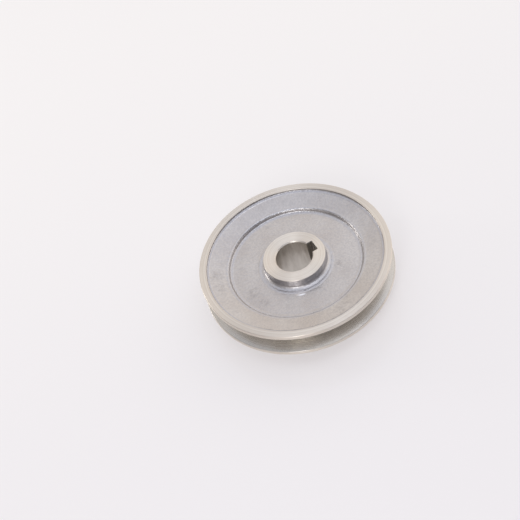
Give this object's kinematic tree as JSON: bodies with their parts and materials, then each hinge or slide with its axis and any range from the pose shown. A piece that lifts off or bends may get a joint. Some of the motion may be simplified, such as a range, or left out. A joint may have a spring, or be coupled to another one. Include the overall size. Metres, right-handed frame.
{
  "type": "v-belt pulley",
  "caption": "Die-cast aluminium V-belt pulley with a grooved rim, a dished web and a keyed hub held on its shaft by socket set screws.",
  "frame": {"origin": "on the bore's axis, at the middle of the belt groove", "axes": "+Z along the bore to the front side, where the hub is flush with the rim; +X through the middle of the keyway"},
  "size_m": [0.125, 0.125, 0.032],
  "materials": {
    "cast_aluminium": "as cast, with turned rim, groove, hub face and bore",
    "black_steel": "black oxide"
  },
  "bodies": {
    "pulley": {"pulley_casting": "cast_aluminium"},
    "key_screw": {"key_grub_screw": "black_steel"},
    "shaft_screw": {"shaft_grub_screw": "black_steel"}
  },
  "joints": [
    {"name": "key_screw_travel", "type": "slide", "parent": "pulley", "child": "key_screw", "axis": [1, 0, 0], "range_m": [-0.0003, 0.004]},
    {"name": "shaft_screw_travel", "type": "slide", "parent": "pulley", "child": "shaft_screw", "axis": [0, -1, 0], "range_m": [-0.0003, 0.007]}
  ]
}
